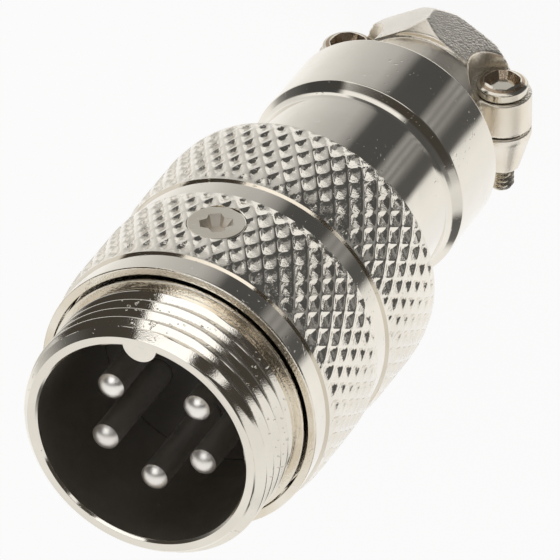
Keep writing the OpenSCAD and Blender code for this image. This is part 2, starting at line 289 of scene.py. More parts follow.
wrapped = nodes.new("ShaderNodeCombineXYZ")
links.new(calc("MULTIPLY", radius, calc("COSINE", angle)), wrapped.inputs["X"])
links.new(calc("MULTIPLY", radius, calc("SINE", angle)), wrapped.inputs["Y"])
links.new(calc("ADD", given["Start"], rise), wrapped.inputs["Z"])
moved = nodes.new("GeometryNodeSetPosition")
links.new(grid.outputs["Mesh"], moved.inputs["Geometry"])
links.new(wrapped.outputs[0], moved.inputs["Position"])
joined = nodes.new("GeometryNodeJoinGeometry")
links.new(moved.outputs[0], joined.inputs[0])
links.new(given["Geometry"], joined.inputs[0])
welded = nodes.new("GeometryNodeMergeByDistance")
welded.inputs["Distance"].default_value = weld
links.new(joined.outputs[0], welded.inputs["Geometry"])
end_tree(thread_tree, welded.outputs[0], given, result)


def tidy_solid(obj):
    """Welds a grown mesh and turns its faces outwards."""
    bm = bmesh.new()
    bm.from_mesh(obj.data)
    bmesh.ops.remove_doubles(bm, verts=bm.verts, dist=weld)
    bmesh.ops.dissolve_degenerate(bm, edges=bm.edges, dist=weld)
    bmesh.ops.recalc_face_normals(bm, faces=bm.faces)
    bm.to_mesh(obj.data)
    bm.free()


# Marks that every plated surface carries: faint patches of tone, fine grain, a slight waviness and
# clusters of tiny pits. Tone and Pit change colour and gloss, and Height feeds a Bump node.
patches_per_metre = 260
patch_limits = (0.35, 0.65)
patch_detail = 3
grain_detail = 2
waves_per_metre = 330
pits_per_metre = 3600
pit_limits = (0.66, 0.74)
clusters_per_metre = 420
cluster_limits = (0.46, 0.62)


def plating_marks_group():
    """The shader group of these marks, with the grain's size in metres."""
    group = bpy.data.node_groups.new("plating_marks", "ShaderNodeTree")
    for label in ("Grain Size", "Grain", "Waves", "Pits"):
        group.interface.new_socket(label, in_out="INPUT", socket_type="NodeSocketFloat")
    for label in ("Tone", "Pit", "Height"):
        group.interface.new_socket(label, in_out="OUTPUT", socket_type="NodeSocketFloat")
    inside = group.nodes.new("NodeGroupInput").outputs
    outside = group.nodes.new("NodeGroupOutput").inputs
    where = group.nodes.new("ShaderNodeTexCoord").outputs["Object"]
    calc = partial(link_math, group)

    def noise(scale, detail=1):
        node = group.nodes.new("ShaderNodeTexNoise")
        node.inputs["Detail"].default_value = detail
        if isinstance(scale, (int, float)):
            node.inputs["Scale"].default_value = scale
        else:
            group.links.new(scale, node.inputs["Scale"])
        group.links.new(where, node.inputs["Vector"])
        return node.outputs["Fac"]

    def ramp(value, limits):
        node = group.nodes.new("ShaderNodeMapRange")
        node.interpolation_type = "SMOOTHSTEP"
        node.inputs["From Min"].default_value = limits[0]
        node.inputs["From Max"].default_value = limits[1]
        group.links.new(value, node.inputs["Value"])
        return node.outputs["Result"]

    group.links.new(ramp(noise(patches_per_metre, patch_detail), patch_limits), outside["Tone"])
    grain = noise(calc("DIVIDE", 1, inside["Grain Size"]), grain_detail)
    waves = noise(waves_per_metre)
    clusters = ramp(noise(clusters_per_metre), cluster_limits)
    pits = calc("MULTIPLY", ramp(noise(pits_per_metre), pit_limits), clusters)
    group.links.new(pits, outside["Pit"])
    height = calc("ADD", calc("MULTIPLY", grain, inside["Grain"]), calc("MULTIPLY", waves, inside["Waves"]))
    height = calc("SUBTRACT", height, calc("MULTIPLY", pits, inside["Pits"]))
    group.links.new(height, outside["Height"])
    return group


plating_marks = plating_marks_group()


def marked(name, base, patch, gloss, rough, relief, **amounts):
    """A material with two close tones, two levels of gloss and the marks' relief in metres.
    It comes with the marks and with the sockets that choose the tone and the gloss."""
    material = bpy.data.materials.new(name)
    material.use_nodes = True
    nodes = material.node_tree.nodes
    links = material.node_tree.links
    shader = nodes["Principled BSDF"]
    marks = nodes.new("ShaderNodeGroup")
    marks.node_tree = plating_marks
    for amount, value in amounts.items():
        marks.inputs[amount.replace("_", " ").title()].default_value = value
    tint = nodes.new("ShaderNodeMix")
    tint.data_type = "RGBA"
    tint.inputs["A"].default_value = (*base, 1)
    tint.inputs["B"].default_value = (*patch, 1)
    links.new(tint.outputs["Result"], shader.inputs["Base Color"])
    polish = nodes.new("ShaderNodeMapRange")
    polish.inputs["To Min"].default_value = gloss
    polish.inputs["To Max"].default_value = rough
    links.new(polish.outputs["Result"], shader.inputs["Roughness"])
    bump = nodes.new("ShaderNodeBump")
    bump.inputs["Strength"].default_value = 1
    bump.inputs["Distance"].default_value = relief
    links.new(marks.outputs["Height"], bump.inputs["Height"])
    links.new(bump.outputs["Normal"], shader.inputs["Normal"])
    return material, marks.outputs, tint.inputs["Factor"], polish.inputs["Value"]


patch_dulling = 0.5


def plated(name, **finish):
    """A plated metal: its patches change the tone, and its patches and pits dull the gloss."""
    material, marks, tone, dulling = marked(name, **finish)
    tree = material.node_tree
    tree.nodes["Principled BSDF"].inputs["Metallic"].default_value = 1
    tree.links.new(marks["Tone"], tone)
    dull_patch = link_math(tree, "MULTIPLY", marks["Tone"], patch_dulling)
    tree.links.new(link_math(tree, "MAXIMUM", dull_patch, marks["Pit"]), dulling)
    return material


nickel = {"base": (0.85, 0.81, 0.74), "patch": (0.80, 0.76, 0.69)}
bright_nickel = plated("bright_nickel", **nickel, gloss=0.06, rough=0.16, relief=0.000006,
                       grain_size=0.00012, grain=0.15, waves=3.0, pits=1.0)
worn_nickel = plated("worn_nickel", base=(0.88, 0.84, 0.76), patch=(0.78, 0.71, 0.60),
                     gloss=0.08, rough=0.24, relief=0.000012,
                     grain_size=0.00014, grain=1.4, waves=3.0, pits=1.0)
cut_nickel = plated("cut_nickel", **nickel, gloss=0.06, rough=0.18, relief=0.000010,
                    grain_size=0.00008, grain=0.3, waves=2.0, pits=2.5)
bore_nickel = plated("bore_nickel", base=(0.66, 0.62, 0.56), patch=(0.56, 0.52, 0.46),
                     gloss=0.32, rough=0.45, relief=0.000006,
                     grain_size=0.00012, grain=0.5, waves=0, pits=1.0)


def coat_where(obj, material, chosen):
    """Gives another material to the faces that a test on their middle in millimetres and normal picks."""
    obj.data.materials.append(material)
    for face in obj.data.polygons:
        if chosen(face.center / MM, face.normal):
            face.material_index = len(obj.data.materials) - 1


bm = bmesh.new()
turn(bm, rounded([
    (relief_radius, thread_rear_z), (relief_radius, skirt_front_z), (skirt_radius, skirt_front_z),
    (skirt_radius, land_front_z), (land_radius, land_front_z), (land_radius, sleeve_rear_z),
    (counterbore_radius, sleeve_rear_z), (counterbore_radius, insulator_front_z),
    (bore_radius, insulator_front_z), (bore_radius, rim_z - mouth_chamfer),
    (bore_radius + mouth_chamfer, rim_z), (rim_radius, rim_z)]), sleeve_steps)
sleeve = piece("threaded_sleeve", bm)
grow(sleeve, thread_tree, {
    "Root Radius": rim_radius * MM, "Depth": thread_depth * MM, "Pitch": thread_pitch * MM,
    "Start": thread_rear_z * MM, "Length": (rim_z - thread_rear_z) * MM,
    "Start Radius": relief_radius * MM, "End Radius": rim_radius * MM,
    "Steps Round": sleeve_steps, "Steps per Turn": thread_steps, "Material": bright_nickel})
tidy_solid(sleeve)

# The key rib: a round bar that sinks into the bore's wall as far as its root, bevelled at the mouth.
key_radius = 1.1
key_height = 0.85
key_root_radius = 7.03
key_steps = 32
key_sink = 0.004
key_bevel_steps = 3
round_profile = 0.5
key_centre_y = -(bore_radius - key_height + key_radius)
key_reach = math.acos((key_radius ** 2 + key_centre_y ** 2 - key_root_radius ** 2)
                      / (2 * key_radius * -key_centre_y))
outline = []
for k in range(key_steps + 1):
    a = math.pi / 2 + key_reach * (1 - 2 * k / key_steps)
    outline.append((key_radius * math.cos(a), key_centre_y + key_radius * math.sin(a)))
bm = bmesh.new()
floor_ring = [bm.verts.new((x * MM, y * MM, (insulator_front_z + key_sink) * MM)) for x, y in outline]
top_ring = [bm.verts.new((x * MM, y * MM, (rim_z - key_sink) * MM)) for x, y in outline]
bm.faces.new(floor_ring)
top = bm.faces.new(top_ring)
for k in range(len(outline)):
    m = (k + 1) % len(outline)
    bm.faces.new((floor_ring[k], floor_ring[m], top_ring[m], top_ring[k]))
bmesh.ops.bevel(bm, geom=list(top.edges), offset=edge_round * MM, segments=key_bevel_steps,
                affect="EDGES", profile=round_profile)
fuse(sleeve, piece("key_rib", bm), "UNION")


def lay_outwards(obj, z):
    """Lays a piece made along Z onto a line through the axis at height z, its own +Z pointing to -Y."""
    obj.data.transform(Matrix.Translation((0, 0, z * MM)) @ Matrix.Rotation(math.pi / 2, 4, "X"))


def radial_plug(name, radius, start, end, steps):
    """A solid plug on the set screw's line, between two distances from the axis."""
    bm = bmesh.new()
    turn(bm, [(0, start), (radius, start), (radius, end), (0, end)], steps)
    plug = piece(name, bm)
    lay_outwards(plug, set_screw_z)
    return plug


shank_hole = radial_plug("shank_hole", set_shank_hole, shank_hole_start, shank_hole_end, shank_hole_steps)
fuse(sleeve, shank_hole, "DIFFERENCE")
finish_shading(sleeve, bright_nickel, sleeve_sharp_angle)
coat_where(sleeve, worn_nickel, lambda middle, normal: (
    land_front_z < middle.z < thread_rear_z and middle.xy.length > relief_radius - edge_round))
coat_where(sleeve, cut_nickel, lambda middle, normal: (
    thread_rear_z < middle.z < rim_z - edge_round and middle.xy.length > rim_radius))
coat_where(sleeve, bore_nickel, lambda middle, normal: (
    insulator_front_z < middle.z < rim_z - mouth_chamfer and middle.xy.length < bore_radius + edge_round))
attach(sleeve, "shell")
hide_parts("threaded_shell")


# Insulator
# A disc moulded in glossy black phenolic that carries the contacts. It is seated in the sleeve's
# counterbore and shows as the dark floor of the plug bore, with a few tiny marks from plugging.
insulator_radius = insulator_high[0]
insulator_rear_corner = 0.15
insulator_front_corner = 0.1
insulator_steps = 128
pin_count = 5
pin_circle_radius = 3.55
pin_first_angle = -38
pin_step_angle = 64
pin_hole = 0.88
pin_hole_overshoot = 1
pin_hole_steps = 40
moulding_index = 1.5
black_moulding, marks, tone, dulling = marked(
    "black_moulding", base=(0.030, 0.026, 0.023), patch=(0.042, 0.036, 0.031),
    gloss=0.3, rough=0.4, relief=0.000003, grain_size=0.0003, grain=0.2, pits=1.0)
tree = black_moulding.node_tree
tree.nodes["Principled BSDF"].inputs["IOR"].default_value = moulding_index
tree.links.new(marks["Pit"], tone)
tree.links.new(marks["Tone"], dulling)

bm = bmesh.new()
turn(bm, rounded([
    (0, insulator_rear_z), (insulator_radius, insulator_rear_z, insulator_rear_corner),
    (insulator_radius, insulator_front_z, insulator_front_corner), (0, insulator_front_z)]), insulator_steps)
insulator = piece("insulator_disc", bm)
hole_rear_z = insulator_rear_z - pin_hole_overshoot
hole_front_z = insulator_front_z + pin_hole_overshoot
bm = bmesh.new()
for k in range(pin_count):
    made = len(bm.verts)
    turn(bm, [(0, hole_rear_z), (pin_hole, hole_rear_z), (pin_hole, hole_front_z), (0, hole_front_z)],
         pin_hole_steps)
    bm.verts.ensure_lookup_table()
    hole = bm.verts[made:]
    bmesh.ops.translate(bm, verts=hole, vec=(pin_circle_radius * MM, 0, 0))
    turned = Matrix.Rotation(math.radians(pin_first_angle + k * pin_step_angle), 3, "Z")
    bmesh.ops.rotate(bm, verts=hole, matrix=turned)
fuse(insulator, piece("pin_holes", bm), "DIFFERENCE")
finish_shading(insulator, black_moulding)
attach(insulator, "shell")
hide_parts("insulator")


# Contacts
# Five turned and plated pins with a round tip, a shoulder behind the insulator and a solder cup
# scooped open to the outside. They are pressed through the moulding, with a gap at the key.
pin_low, pin_high = box_mm("contact_pin_1")
pin_radius = 0.85
pin_tip_z = pin_high[2]
pin_steps = 48
tip_dome = 0.45
tip_steps = 14
turning_mark = 0.003
first_mark = tip_steps / 3
shoulder_radius = 1.25
shoulder_rear_z = 29.3
cup_rear_z = pin_low[2]
cup_radius = 0.6
cup_top_z = 28.5
scoop_length = 2.2
scoop_overshoot = 1
scoop_offset = 0.005
contact_nickel = plated("contact_nickel", base=(0.95, 0.93, 0.90), patch=(0.90, 0.87, 0.83),
                        gloss=0.30, rough=0.45, relief=0.000006,
                        grain_size=0.00009, grain=0.6, waves=0, pits=1.0)

pins_tree, given, result = new_tree("Contacts on a circle", [
    ("Circle Radius", "Float"), ("First Angle", "Float"), ("Step Angle", "Float"), ("Count", "Int")])
nodes = pins_tree.nodes
links = pins_tree.links
calc = partial(link_math, pins_tree)
line = nodes.new("GeometryNodeMeshLine")
links.new(given["Count"], line.inputs["Count"])
number = nodes.new("GeometryNodeInputIndex").outputs[0]
angle = calc("ADD", given["First Angle"], calc("MULTIPLY", number, given["Step Angle"]))
spot = nodes.new("ShaderNodeCombineXYZ")
links.new(calc("MULTIPLY", given["Circle Radius"], calc("COSINE", angle)), spot.inputs["X"])
links.new(calc("MULTIPLY", given["Circle Radius"], calc("SINE", angle)), spot.inputs["Y"])
moved = nodes.new("GeometryNodeSetPosition")
links.new(line.outputs[0], moved.inputs["Geometry"])
links.new(spot.outputs[0], moved.inputs["Position"])
facing = nodes.new("ShaderNodeCombineXYZ")
links.new(angle, facing.inputs["Z"])
stood = nodes.new("GeometryNodeInstanceOnPoints")
links.new(moved.outputs[0], stood.inputs["Points"])
links.new(given["Geometry"], stood.inputs["Instance"])
links.new(facing.outputs[0], stood.inputs["Rotation"])
end_tree(pins_tree, stood.outputs[0], given, result)

tip_sphere = (pin_radius ** 2 + tip_dome ** 2) / (2 * tip_dome)
tip_reach = math.asin(pin_radius / tip_sphere)
tip = []
for k in range(tip_steps + 1):
    a = tip_reach * k / tip_steps
    mark = turning_mark if k % 2 and k > first_mark else 0
    tip.append((tip_sphere * math.sin(a), pin_tip_z - tip_sphere * (1 - math.cos(a)) - mark, 0))
bm = bmesh.new()
turn(bm, rounded(tip + [
    (pin_radius, insulator_rear_z), (shoulder_radius, insulator_rear_z),
    (shoulder_radius, shoulder_rear_z), (pin_radius, shoulder_rear_z), (pin_radius, cup_rear_z),
    (cup_radius, cup_rear_z), (cup_radius, cup_top_z), (0, cup_top_z)]), pin_steps)
pins = piece("contact_pins", bm)
scoop_middle_z = cup_rear_z + (scoop_length - scoop_overshoot) / 2
scoop_place = Matrix.Translation(Vector((pin_radius + scoop_offset, 0, scoop_middle_z)) * MM)
scoop_size = Vector((2 * pin_radius, 4 * pin_radius, scoop_length + scoop_overshoot)) * MM
bm = bmesh.new()
bmesh.ops.create_cube(bm, size=1, matrix=scoop_place @ Matrix.Diagonal((*scoop_size, 1)))
fuse(pins, piece("scoop", bm), "DIFFERENCE")
grow(pins, pins_tree, {
    "Circle Radius": pin_circle_radius * MM, "First Angle": math.radians(pin_first_angle),
    "Step Angle": math.radians(pin_step_angle), "Count": pin_count, "Material": contact_nickel})
finish_shading(pins, contact_nickel)
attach(pins, "shell")
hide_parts(*[f"contact_pin_{i}" for i in range(1, pin_count + 1)])


# Outer shell
# One piece of brass turned from bar: a plain nose, two bands rolled with a diamond knurl, a groove
# between them, a barrel and a rear collar whose lip holds the cable clamp. Bright nickel plated.
shell_low, shell_high = box_mm("outer_shell")
shell_front_z = shell_high[2]
shell_radius = 8.99
shell_bore = 8.45
nose_corner = 0.12
seat_bore = 7.03
barrel_front_z = 21.5
barrel_rear_z = 13.42
barrel_radius = 6.49
barrel_bore = 5.54
barrel_wall = 0.95
barrel_corner = 0.1
collar_front_z = 12.66
collar_rear_z = shell_low[2]
collar_radius = 7.1
collar_front_corner = 0.15
collar_rear_corner = 0.12
collar_fillet = 1.15
cavity_radius = 6.15
lip_front_z = 8.6
lip_radius = 5.14
set_head_hole = 1.83
head_hole_start = 8
head_hole_end = 10
head_hole_steps = 64
rear_band = (barrel_front_z, 28.2)
front_band = (29.85, 36.85)
band_edge = 0.05
plain_rings = (rear_band[1] + band_edge, front_band[0] - band_edge, front_band[1] + band_edge)
shell_steps = 240
shell_sharp_angle = math.radians(30)

throat_rear_z = barrel_front_z + barrel_wall
throat_front_z = throat_rear_z + seat_bore - barrel_bore
cavity_front_z = collar_front_z - cavity_radius + barrel_bore
bm = bmesh.new()
turn(bm, rounded([
    (lip_radius, collar_rear_z), (collar_radius, collar_rear_z, collar_rear_corner),
    (collar_radius, collar_front_z, collar_front_corner), (barrel_radius, barrel_rear_z, collar_fillet),
    (barrel_radius, barrel_front_z, barrel_corner), (shell_radius, barrel_front_z, barrel_corner),
    *[(shell_radius, z, 0) for z in plain_rings], (shell_radius, shell_front_z, nose_corner),
    (shell_bore, shell_front_z), (shell_bore, insulator_rear_z), (seat_bore, insulator_rear_z),
    (seat_bore, throat_front_z), (barrel_bore, throat_rear_z), (barrel_bore, collar_front_z),
    (cavity_radius, cavity_front_z), (cavity_radius, lip_front_z), (lip_radius, lip_front_z)],
    closed=True), shell_steps, closed=True)
shell = piece("outer_shell_turned", bm)
head_hole = partial(radial_plug, "head_hole", set_head_hole, head_hole_start, head_hole_end, head_hole_steps)
fuse(shell, head_hole(), "DIFFERENCE")

# The diamond knurl: lines at u + v odd keep the blank's own surface, and between them each pit drops
# by a steep wall and climbs back by a long ramp. Rings 0 and 1 and the last ring close the band's
# inside, the others lie on its face, and the turned blank that comes in trims the grown band.
first_face_ring = 2
unevenness_scale = 9
plain_margin = 0.3
knurl_tree, given, result = new_tree("Diamond knurl", [
    ("Count", "Int"), ("Rows", "Int"), ("Steps", "Int"), ("Row Pitch", "Float"), ("First Row", "Float"),
    ("Inner Radius", "Float"), ("Valley Radius", "Float"), ("Crest Radius", "Float"),
    ("Rear", "Float"), ("Front", "Float"), ("Crown", "Float"), ("Crown Length", "Float"),
    ("Margin", "Float"), ("Pit Size", "Float"), ("End Steepness", "Float"), ("Lean", "Float"),
    ("Squareness", "Float"), ("Roundness", "Float"), ("Unevenness", "Float"), ("Seed", "Float")])
nodes = knurl_tree.nodes
links = knurl_tree.links
calc = partial(link_math, knurl_tree)
columns = calc("MULTIPLY", calc("MULTIPLY", given["Count"], 2), given["Steps"])
face_end = calc("MULTIPLY", calc("SUBTRACT", given["Rows"], 1), given["Steps"])
last = calc("ADD", face_end, first_face_ring + 1)
grid = nodes.new("GeometryNodeMeshGrid")
links.new(columns, grid.inputs["Size X"])
links.new(last, grid.inputs["Size Y"])
links.new(calc("ADD", columns, 1), grid.inputs["Vertices X"])
links.new(calc("ADD", last, 1), grid.inputs["Vertices Y"])
place = nodes.new("ShaderNodeSeparateXYZ")
links.new(nodes.new("GeometryNodeInputPosition").outputs[0], place.inputs[0])
column = calc("ROUND", calc("ADD", place.outputs["X"], calc("MULTIPLY", columns, 0.5)))
ring = calc("ROUND", calc("ADD", place.outputs["Y"], calc("MULTIPLY", last, 0.5)))
past_last = calc("GREATER_THAN", ring, calc("SUBTRACT", last, 0.5))
past_first = calc("GREATER_THAN", ring, first_face_ring - 0.5)
on_face = calc("MULTIPLY", past_first, calc("SUBTRACT", 1, past_last))
at_top = calc("ADD", calc("LESS_THAN", ring, 0.5), past_last)
row = calc("MULTIPLY", on_face, calc("SUBTRACT", ring, first_face_ring))
row = calc("ADD", row, calc("MULTIPLY", at_top, face_end))
angle = calc("MULTIPLY", column, calc("DIVIDE", 2 * math.pi, columns))
along_x = calc("COSINE", angle)
along_y = calc("SINE", angle)
row_step = calc("DIVIDE", given["Row Pitch"], given["Steps"])
height = calc("ADD", given["First Row"], calc("MULTIPLY", row, row_step))
u = calc("DIVIDE", column, given["Steps"])
v = calc("DIVIDE", row, given["Steps"])
across = calc("WRAP", calc("SUBTRACT", u, v), 1, -1)
steep_side = calc("DIVIDE", calc("SUBTRACT", across, given["Lean"]), calc("SUBTRACT", 1, given["Lean"]))
ramp_side = calc("DIVIDE", calc("SUBTRACT", given["Lean"], across), calc("ADD", 1, given["Lean"]))
along_pit = calc("DIVIDE", calc("PINGPONG", calc("ADD", u, v), 1), given["Pit Size"])
along_pit = calc("POWER", along_pit, given["End Steepness"])
to_ridges = [along_pit, calc("MAXIMUM", steep_side, ramp_side)]
powers = [calc("POWER", share, given["Squareness"]) for share in to_ridges]
from_middle = calc("POWER", calc("ADD", *powers), calc("DIVIDE", 1, given["Squareness"]))
from_middle = calc("MINIMUM", from_middle, 1)
pit = calc("SUBTRACT", 1, calc("POWER", from_middle, given["Roundness"]))
spot = nodes.new("ShaderNodeCombineXYZ")
links.new(along_x, spot.inputs["X"])
links.new(along_y, spot.inputs["Y"])
links.new(calc("DIVIDE", height, given["Crest Radius"]), spot.inputs["Z"])
chance = nodes.new("ShaderNodeTexNoise")
chance.noise_dimensions = "4D"
chance.inputs["Scale"].default_value = unevenness_scale
links.new(spot.outputs[0], chance.inputs["Vector"])
links.new(given["Seed"], chance.inputs["W"])
uneven = calc("MULTIPLY", chance.outputs["Fac"], given["Unevenness"])
pit = calc("MULTIPLY", pit, calc("SUBTRACT", 1, uneven))
to_end = calc("MINIMUM", calc("SUBTRACT", height, given["Rear"]), calc("SUBTRACT", given["Front"], height))
inwards = calc("MINIMUM", calc("MAXIMUM", calc("DIVIDE", to_end, given["Crown Length"]), 0), 1)
drop = calc("MULTIPLY", given["Crown"], calc("POWER", calc("SUBTRACT", 1, inwards), 2))
opened = calc("SUBTRACT", calc("DIVIDE", to_end, given["Margin"]), plain_margin)
opened = calc("MINIMUM", calc("MAXIMUM", opened, 0), 1)
depth = calc("MULTIPLY", opened, calc("SUBTRACT", given["Crest Radius"], given["Valley Radius"]))
face_radius = calc("SUBTRACT", calc("SUBTRACT", given["Crest Radius"], drop), calc("MULTIPLY", pit, depth))
wall = calc("MULTIPLY", on_face, calc("SUBTRACT", face_radius, given["Inner Radius"]))
radius = calc("ADD", given["Inner Radius"], wall)
wrapped = nodes.new("ShaderNodeCombineXYZ")
links.new(calc("MULTIPLY", radius, along_x), wrapped.inputs["X"])
links.new(calc("MULTIPLY", radius, along_y), wrapped.inputs["Y"])
links.new(height, wrapped.inputs["Z"])
moved = nodes.new("GeometryNodeSetPosition")
links.new(grid.outputs["Mesh"], moved.inputs["Geometry"])
links.new(wrapped.outputs[0], moved.inputs["Position"])
welded = nodes.new("GeometryNodeMergeByDistance")
welded.inputs["Distance"].default_value = weld
links.new(moved.outputs[0], welded.inputs["Geometry"])
split = nodes.new("GeometryNodeTriangulate")
split.quad_method = "SHORTEST_DIAGONAL"
links.new(welded.outputs[0], split.inputs["Mesh"])
outward = nodes.new("GeometryNodeFlipFaces")
links.new(split.outputs[0], outward.inputs["Mesh"])
trim = nodes.new("GeometryNodeMeshBoolean")
trim.operation = "INTERSECT"
trim.solver = "MANIFOLD"
links.new(given["Geometry"], trim.inputs["Mesh 2"])
links.new(outward.outputs[0], trim.inputs["Mesh 2"])
end_tree(knurl_tree, trim.outputs["Mesh"], given, result)

knurl_count = 48
knurl_row = 1.0
knurl_steps = 6
knurl_crest = shell_high[0]
knurl_valley = 9.08
knurl_inner = 8.75
knurl_crown = 0.17
crown_length = 1.4
knurl_margin = 0.25
pit_shape = {"Pit Size": 0.84, "End Steepness": 1.5, "Lean": 0.5, "Squareness": 5.0, "Roundness": 0.9,
             "Unevenness": 0.2, "Seed": 5.0}
inner_clearance = 0.05
outer_clearance = 0.01
blank_inner = knurl_inner + inner_clearance
blank_radius = knurl_crest + outer_clearance
ridge_edge = 0.02
ridge_facing = 0.95
rolled_nickel = plated("rolled_nickel", **nickel, gloss=0.08, rough=0.2, relief=0.000010,
                       grain_size=0.00014, grain=1.8, waves=3.0, pits=1.0)
for name, (rear_z, front_z) in (("rear_knurl", rear_band), ("front_knurl", front_band)):
    bm = bmesh.new()
    turn(bm, [(blank_inner, rear_z), (blank_radius, rear_z), (blank_radius, front_z),
              (blank_inner, front_z)], shell_steps, closed=True)
    band = piece(name, bm)
    rows = math.floor((front_z - rear_z) / knurl_row) + 2
    first_row_z = (rear_z + front_z) / 2 - (rows - 1) * knurl_row / 2
    grow(band, knurl_tree, {
        "Count": knurl_count, "Rows": rows, "Steps": knurl_steps, "Row Pitch": knurl_row * MM,
        "First Row": first_row_z * MM, "Inner Radius": knurl_inner * MM,
        "Valley Radius": knurl_valley * MM, "Crest Radius": knurl_crest * MM,
        "Rear": rear_z * MM, "Front": front_z * MM, "Crown": knurl_crown * MM,
        "Crown Length": crown_length * MM, "Margin": knurl_margin * MM,
        **pit_shape, "Material": bright_nickel})
    if rear_z < set_screw_z < front_z:
        fuse(band, head_hole(), "DIFFERENCE")
    fuse(shell, band, "UNION")

finish_shading(shell, bright_nickel, shell_sharp_angle)
coat_where(shell, worn_nickel, lambda middle, normal: middle.z > shell_front_z - edge_round)
coat_where(shell, rolled_nickel, lambda middle, normal: (
    shell_radius < middle.xy.length < knurl_crest - ridge_edge and abs(normal.z) < ridge_facing
    and normal.dot(middle.xy.to_3d().normalized()) < ridge_facing))
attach(shell, "shell")
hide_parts("outer_shell")


# Set screw
# A small plated steel screw with a flush countersunk head and a pressed cross recess. It passes
# through the front knurled band and locks the sleeve in the shell.
set_head_top = -set_screw_low[1]
set_head_radius = set_screw_high[0]
set_head_depth = 0.6
set_head_corner = 0.1
set_cone_length = 0.75
set_shank_radius = 1.0
set_tip = -set_screw_high[1]
set_recess_span = 2.0
set_recess_turn = math.radians(30)
set_recess_core = 1.5
recess_blade = 0.7
screw_steps = 64
screw_nickel = plated("screw_nickel", base=(0.79, 0.75, 0.67), patch=(0.71, 0.66, 0.57),
                      gloss=0.08, rough=0.2, relief=0.000006,
                      grain_size=0.00008, grain=0.5, waves=0, pits=1.0)
# The set screw's recess is matt, as a pressed recess is, and has a lighter tone than the screw: painted
# light that brightens the recess walls.
matt_pressed_and_painted_light = plated("matt_pressed_and_painted_light", base=(0.86, 0.81, 0.73), patch=(0.76, 0.70, 0.61),
                        gloss=0.4, rough=0.55, relief=0.000006,
                        grain_size=0.0001, grain=1.0, waves=0, pits=1.0)

punch_rise = 0.2
punch_flare = 0.05
blade_flare = 0.03
point_span = 0.28
point_blade = 0.34


def cross_punch(top, depth, span, blade, stoutness):
    """A closed cross-shaped punch with tapered wings and a stout core, its point at top minus depth."""
    bm = bmesh.new()
    rings = []
    for z, half, side in ((top + punch_rise, span / 2 + punch_flare, blade / 2 + blade_flare),
                          (top, span / 2, blade / 2),
                          (top - depth, span * point_span, blade * point_blade)):
        core = side * stoutness
        corner = [(half, side), (core, core), (side, half)]
        ring = []
        for quarter in range(4):
            c = math.cos(quarter * math.pi / 2)
            s = math.sin(quarter * math.pi / 2)
            ring += [bm.verts.new(((x * c - y * s) * MM, (x * s + y * c) * MM, z * MM)) for x, y in corner]
        rings.append(ring)
    for low, high in zip(rings, rings[1:]):
        for k in range(len(low)):
            m = (k + 1) % len(low)
            bm.faces.new((low[k], low[m], high[m], high[k]))
    bm.faces.new(rings[0])
    bm.faces.new(rings[-1])
    bmesh.ops.triangulate(bm, faces=bm.faces)
    return piece("cross_punch", bm)


cone_top = set_head_top - set_head_depth
bm = bmesh.new()
turn(bm, rounded([
    (0, set_tip), (set_shank_radius, set_tip), (set_shank_radius, cone_top - set_cone_length),
    (set_head_radius, cone_top), (set_head_radius, set_head_top, set_head_corner),
    (0, set_head_top)]), screw_steps)
set_screw = piece("set_screw_head", bm)
punch = cross_punch(set_head_top, set_head_depth, set_recess_span, recess_blade, set_recess_core)
punch.data.transform(Matrix.Rotation(set_recess_turn, 4, "Z"))
fuse(set_screw, punch, "DIFFERENCE")
finish_shading(set_screw, screw_nickel)
# Painted light: the recess walls take the lighter, matt nickel.
coat_where(set_screw, matt_pressed_and_painted_light, lambda middle, normal: (
    cone_top - edge_round < middle.z < set_head_top - edge_round
    and middle.xy.length < set_recess_span / 2))
lay_outwards(set_screw, set_screw_z)
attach(set_screw, "shell")
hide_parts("set_screw")


# Cable clamp
# Two halves cast in zinc alloy and nickel plated: a hexagon with a neck and a flange that sits
# behind the collar's lip. The grain of the casting shows on the flats, and its edges are soft.
jaw_voxel = 0.00009
jaw_smoothing = 3
jaw_smooth_factor = 0.5
jaw_sharp_angle = math.radians(60)
hexagon_front_z = 3.1
flat_most_z = 0.3
flat_least_y = 0.7
cast_nickel = plated("cast_nickel", base=(0.89, 0.84, 0.76), patch=(0.84, 0.77, 0.66),
                     gloss=0.28, rough=0.4, relief=0.000010,
                     grain_size=0.00014, grain=0.7, waves=1.0, pits=1.0)
grained_nickel = plated("grained_nickel", base=(0.90, 0.86, 0.80), patch=(0.84, 0.79, 0.72),
                        gloss=0.07, rough=0.14, relief=0.000010,
                        grain_size=0.00012, grain=6.5, waves=1.0, pits=1.0)
for node, body in (("lower_jaw", "shell"), ("upper_jaw", "jaw")):
    bm = bmesh.new()
    bm.from_mesh(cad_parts[node].data)
    jaw = piece(f"{node}_cast", bm)
    remesh = jaw.modifiers.new("voxels", "REMESH")
    remesh.mode = "VOXEL"
    remesh.voxel_size = jaw_voxel
    smooth = jaw.modifiers.new("soft edges", "SMOOTH")
    smooth.factor = jaw_smooth_factor
    smooth.iterations = jaw_smoothing
    settle(jaw)
    finish_shading(jaw, cast_nickel, jaw_sharp_angle)
    coat_where(jaw, grained_nickel, lambda middle, normal: (
        middle.z < hexagon_front_z and normal.z < flat_most_z and abs(normal.y) > flat_least_y))
    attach(jaw, body)
    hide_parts(node)


